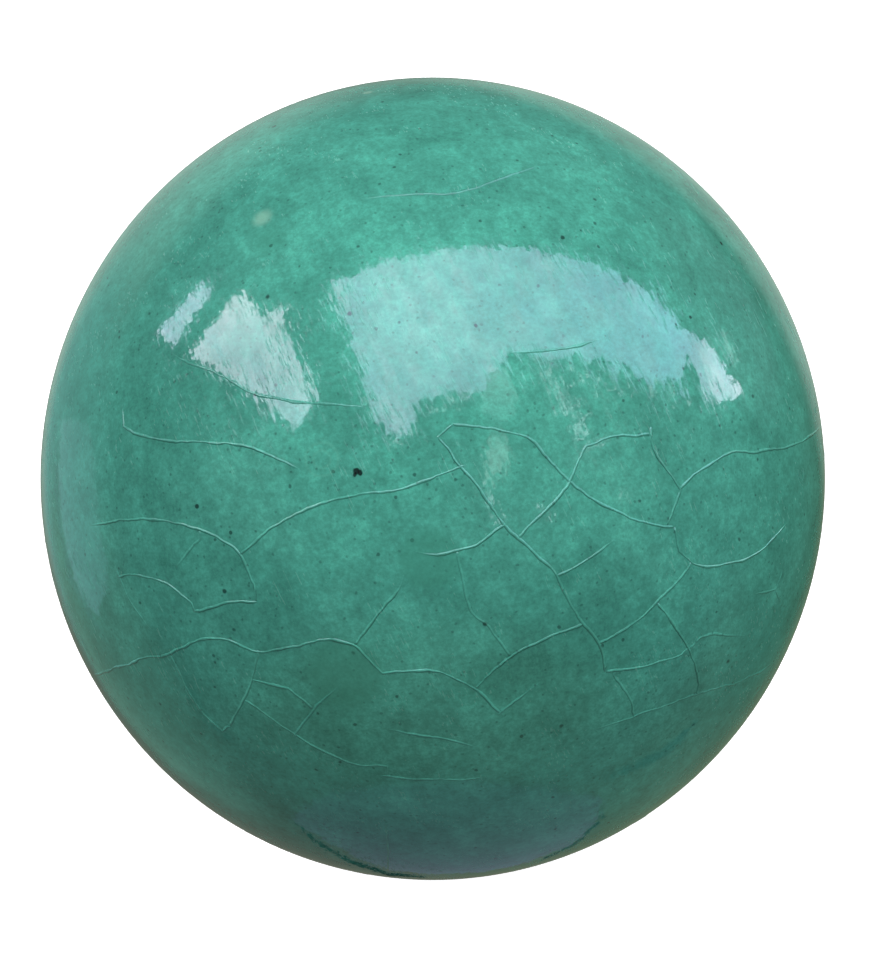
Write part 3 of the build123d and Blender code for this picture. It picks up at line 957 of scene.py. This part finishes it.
def add_flecks(name, path, spread, count, colour):
    """A trail of small torn bits out in the room, seen mirrored along a path."""
    lengths = [0.0]
    for a, b in zip(path, path[1:]):
        lengths.append(lengths[-1] + hypot(b[0] - a[0], b[1] - a[1]))
    points, faces = [], []
    for _ in range(count):
        target = seeded.uniform(0, lengths[-1])
        k = next(i for i in range(1, len(lengths)) if lengths[i] >= target)
        share = (target - lengths[k - 1]) / (lengths[k] - lengths[k - 1])
        x, y = mix(path[k - 1], path[k], share)
        x, y = x + seeded.gauss(0, spread * 0.5), y + seeded.gauss(0, spread * 0.7)
        wide, tall, lean = seeded.uniform(0.06, 0.2), seeded.uniform(0.12, 0.55), seeded.gauss(0.3, 0.4)
        first = len(points)
        for i in range(9):
            turn, reach = 2 * pi * i / 9, seeded.uniform(0.55, 1.15)
            u, v = wide * cos(turn) * reach, tall * sin(turn) * reach
            across, up = u * cos(lean) + v * sin(lean), v * cos(lean) - u * sin(lean)
            points.append(mirrored(x + across, y + up, fleck_distance))
        faces.append(tuple(range(first, first + 9)))
    flecks = add_glowing(name, points, faces, [colour] * len(points))


add_card("sky_strip", [(-25.8, 22.3), (-24.6, 21.3), (-28.8, 14.9), (-30.8, 16.2)],
    sky(lambda x, y: 0.62), 0.32)
add_card("sky_left", [
    (-21.5, 21.1), (-18.4, 18.1), (-16.8, 19.7), (-16.1, 15.9), (-12.9, 8.6), (-15.4, 5.4), (-20, 9.2),
    (-27.3, 14.2)],
    sky(lambda x, y: 0.96 + 0.03 * (y - 14)), 0.38)
add_card("sky_main", [
    (-11.6, 22.5), (-8.6, 22.3), (-7.6, 23.9), (0.8, 25.9), (8.7, 26), (13.9, 25.2), (19.1, 23.5),
    (24.3, 21.1), (27.9, 16.7), (31.2, 15), (32.8, 12), (34.4, 10.3), (34, 9.1), (32.3, 8.7),
    (30.7, 8.9), (30.3, 10.5), (29.7, 12), (28.3, 14.1), (28, 11.5), (28.6, 8.9), (27.9, 9.1),
    (27.4, 11.3), (26.9, 10.5), (26.4, 11.5), (25.9, 10.1), (25.3, 11.5), (24.8, 10.3), (24.1, 10.3),
    (23.6, 11.7), (22.7, 11), (22.2, 12.7), (21.2, 12.9), (20.3, 11), (19.8, 12.9), (19.1, 13.9),
    (17.9, 13.1), (16.1, 14.3), (14.2, 13.1), (12.9, 13.4), (8.5, 14.6), (7.8, 13.4), (6.1, 10.1),
    (3.8, 9.4), (1.4, 9.8), (-0.5, 9.1), (-1.9, 7.9), (-2.6, 5.2), (-3.8, 4.3), (-5.2, 5.2), (-6.9, 7.7),
    (-7.6, 10.1), (-8.3, 12.9), (-9.5, 16.2), (-10.4, 18.6)],
    sky(lambda x, y: 0.54 - 0.022 * max(0, x - 3) + 0.95 * smoothstep(26, 33, x)), 0.45)
add_card("sky_veil", [(6.2, 12.6), (8.2, 12.4), (9.6, 9.4), (9.2, 7.4), (7.6, 6.3), (6.2, 6.6), (5.4, 9)],
    lambda x, y: mix((0.7, 1.1, 1.1), (2.0, 2.8, 2.8), smoothstep(6.5, 12, y)), 0.35)
add_card("sky_drip", [
    (6.6, 6), (7.9, 5.6), (8.4, 3.2), (8.6, 1.6), (7.8, 0.6), (6.6, -0.6), (5.3, -0.7), (5.7, 1.5),
    (6.2, 3.6)],
    lambda x, y: mix((2.2, 3.0, 2.8), (0.9, 1.4, 1.3), smoothstep(3.2, 6, y)), 0.35)
add_card("sky_chip", [(31.9, 16.6), (33, 16.2), (34.1, 13.6), (34, 12.6), (33.5, 13.4), (32.6, 15.4)],
    plain((1.6, 2.3, 2.3)), 0.3)
haze, thin_haze = (3.8, 4.9, 5.2), (2.0, 2.8, 2.8)
for place, path, spread, count, colour in (
    ("torn_edge", [(15, 12.4), (20, 11.2), (26, 10.2), (28.6, 9.2)], 1.2, 70, haze),
    ("break", [(12.4, 13.4), (13.2, 11.2), (14.6, 9.2), (16.2, 7.2), (17.2, 4.8)], 1.1, 150, haze),
    ("drip", [(7, 5.2), (6.4, 2), (6, -1.6), (6.3, -3.2), (7.4, -4.7), (8.4, -5.4)], 0.6, 70, haze),
    ("ridge", [(16.4, 2.4), (17.5, 3.5), (19.8, 4.7)], 0.3, 24, haze),
    ("low", [(11.8, -3.2), (12.9, -4.3), (13.6, -4.4)], 0.3, 14, haze),
    ("right", [(20.9, -1.6), (21.9, -2.8)], 0.3, 10, thin_haze),
    ("lobe", [(-8, 10), (-6.5, 6.6), (-3.8, 4), (-1.8, 7.2), (3, 9), (5.6, 9.6)], 0.5, 60, haze),
):
    add_flecks("flecks_" + place, path, spread, count, colour)


# Low on the crown: the pale strip at its left, the grey pane at its foot, and their dark frames
add_card("left_strip", [
    (-41.7, 6.5), (-40.3, 6.9), (-38.3, 5.5), (-37.6, -1.3), (-37.2, -6.1), (-36.3, -11.8), (-37.6, -15),
    (-38.8, -14.2), (-40.3, -10.9), (-41.4, -6.1), (-42, -0.6)],
    plain((0.44, 0.78, 0.8)), 0.12)
add_card("foot_pane", [
    (-15.2, -37.4), (-15.4, -38.6), (-12.3, -40.5), (-8.7, -42.5), (-4.9, -43.9), (0, -44.4), (5, -44.2),
    (9.8, -43.3), (15.4, -41.2), (18.2, -38.8), (18.9, -36), (12, -34.6), (4, -34), (-6, -34.4),
    (-12, -35.4)],
    plain((0.21, 0.225, 0.3)), 0.1)
dark_frames = [  # path, thickness in mm, shade
    ([(-15.7, -38.4), (-12.8, -40.9), (-9.4, -42.9), (-5.2, -44.3), (-1, -44.7)], 0.45, 0),
    ([(18.9, -36.6), (18.7, -38.4), (16.2, -40.8), (12, -42.9)], 0.32, 0.02),
    ([(-42, 4.5), (-42.3, -0.6), (-41.7, -6.3), (-40.5, -11.2), (-38.6, -15), (-36.2, -19)],
     0.24, 0.25),
    ([(29.8, -27), (27.2, -29.8), (23.6, -32), (19.6, -33.6)], 0.9, 0.06),
    ([(-28.2, -21.6), (-27, -24.4), (-25, -27.2), (-22.6, -29.4)], 0.8, 0.06),
]
for number, (path, thickness, shade) in enumerate(dark_frames):
    ends = [0.25] + [1.0] * (len(path) - 2) + [0.25]
    sides = []
    for i, (x, y) in enumerate(path):
        ahead, behind = Vector(path[min(i + 1, len(path) - 1)]), Vector(path[max(i - 1, 0)])
        way = (ahead - behind).normalized() * thickness / 2 * ends[i]
        sides.append(((x - way.y, y + way.x), (x + way.y, y - way.x)))
    add_card(
        f"dark_frame_{number}", [a for a, _ in sides] + [b for _, b in sides[::-1]],
        plain((shade, shade * 1.5, shade * 1.5)), 0.04, frame_distance,
    )


# ---- dim surroundings, floor, backdrop and lights
surroundings_radius, backdrop_radius, floor_radius, floor_corners = 2.5, 6, 5.5, 96
light_distance = 1.6


def bearing(turn, polar):
    """Direction at an angle from the zenith, and at a turn from the camera's right, in degrees."""
    turn, polar = radians(turn), radians(polar)
    return Vector((-cos(turn) * sin(polar), -sin(turn) * sin(polar), cos(polar)))


things_around = [  # where, how far it reaches in degrees, colour
    (bearing(270, 82), 42, (0.2, 0.18, 0.07)),  # dry grass
    (bearing(270, 150), 62, (0.165, 0.165, 0.13)),  # bare ground
    (bearing(330, 138), 34, (0.165, 0.205, 0.125)),
    (bearing(5, 130), 30, (0.07, 0.15, 0.08)),  # shade
    (bearing(48, 154), 17, (0.42, 0.54, 0.46)),  # paving
    (bearing(30, 112), 18, (0.24, 0.32, 0.3)),
    (bearing(146, 142), 26, (0.44, 0.6, 0.52)),  # pale wall
    (bearing(180, 132), 24, (0.26, 0.54, 0.5)),
    (bearing(207, 128), 24, (0.24, 0.42, 0.32)),
]


def room_colour(direction):
    """Colour of the dim surroundings in a direction."""
    colour = (0.1, 0.14, 0.13)
    for middle, reach, tint in things_around:
        away = acos(max(-1, min(1, direction.dot(middle)))) * 180 / pi
        colour = mix(colour, tint, 1 - smoothstep(reach * 0.72, reach * 1.28, away))
    return colour


def sphere(centre, radius, rows, columns, lowest):
    """Points, directions and faces of a sphere's part down to an angle from the zenith."""
    ways, faces = [], []
    for j in range(rows + 1):
        polar = lowest * j / rows
        for i in range(columns):
            turn = 2 * pi * i / columns
            ways.append(Vector((sin(polar) * cos(turn), sin(polar) * sin(turn), cos(polar))))
    for j in range(rows):
        for i in range(columns):
            k = (i + 1) % columns
            faces.append((j * columns + i, j * columns + k, (j + 1) * columns + k, (j + 1) * columns + i))
    return [centre + way * radius for way in ways], ways, faces


points, ways, faces = sphere(crown_centre, surroundings_radius, 72, 144, pi)
ball = add_glowing("surroundings", points, faces, [room_colour(way) for way in ways])

m = Nodes("pale_floor")
stone = m.noise(m.place(), 14, 4, 0.6)
paint = m.blend(m.range(stone, 0.3, 0.7, 0.0, 1.0), (0.8, 0.8, 0.8), (0.84, 0.84, 0.84))
matt = m.add("ShaderNodeBsdfDiffuse", {"Color": paint}).outputs[0]
shine = m.add("ShaderNodeEmission", {"Color": (1, 1, 1, 1), "Strength": 0.74}).outputs[0]
floor_paint = m.finish(m.add("ShaderNodeAddShader", {0: matt, 1: shine}).outputs[0])
turns = [2 * pi * k / floor_corners for k in range(floor_corners)]
rim = [Vector((floor_radius * cos(turn), floor_radius * sin(turn), floor_z)) for turn in turns]
ground = new_mesh("floor", rim, [tuple(range(floor_corners))], floor_paint)
hide_from(ground, "diffuse", "glossy")

points, _, faces = sphere(Vector((0, 0, 0)), backdrop_radius, 24, 64, pi * 0.55)
dome = new_mesh("backdrop", points, faces, glow_material("backdrop_glow", (0.93, 0.93, 0.93, 1)))
hide_from(dome, "diffuse", "glossy", "shadow", "transmission")

world = bpy.data.worlds.new("room")
scene.world = world
w = Nodes("room", owner=world)
w.add(
    "ShaderNodeOutputWorld",
    {"Surface": w.add("ShaderNodeBackground", {"Color": (0.92, 1.0, 1.04, 1), "Strength": 0.21}).outputs[0]},
)
world.cycles_visibility.glossy = False
world.cycles_visibility.camera = False


def add_area_light(name, direction, size, power):
    """A square light that shines on the crown from a direction, unseen in reflections."""
    data = bpy.data.lights.new(name, "AREA")
    data.shape, data.size, data.energy = "SQUARE", size, power
    light = bpy.data.objects.new(name, data)
    light.location = crown_centre + direction * light_distance
    light.rotation_euler = direction.to_track_quat("Z", "Y").to_euler()
    light.visible_glossy = False
    scene.collection.objects.link(light)


add_area_light("key", bearing(96, 44), 0.7, 22.5)
add_area_light("right_fill", bearing(12, 60), 0.8, 8.5)
add_area_light("left_fill", bearing(165, 55), 0.8, 5)

scene.view_settings.view_transform = "Standard"
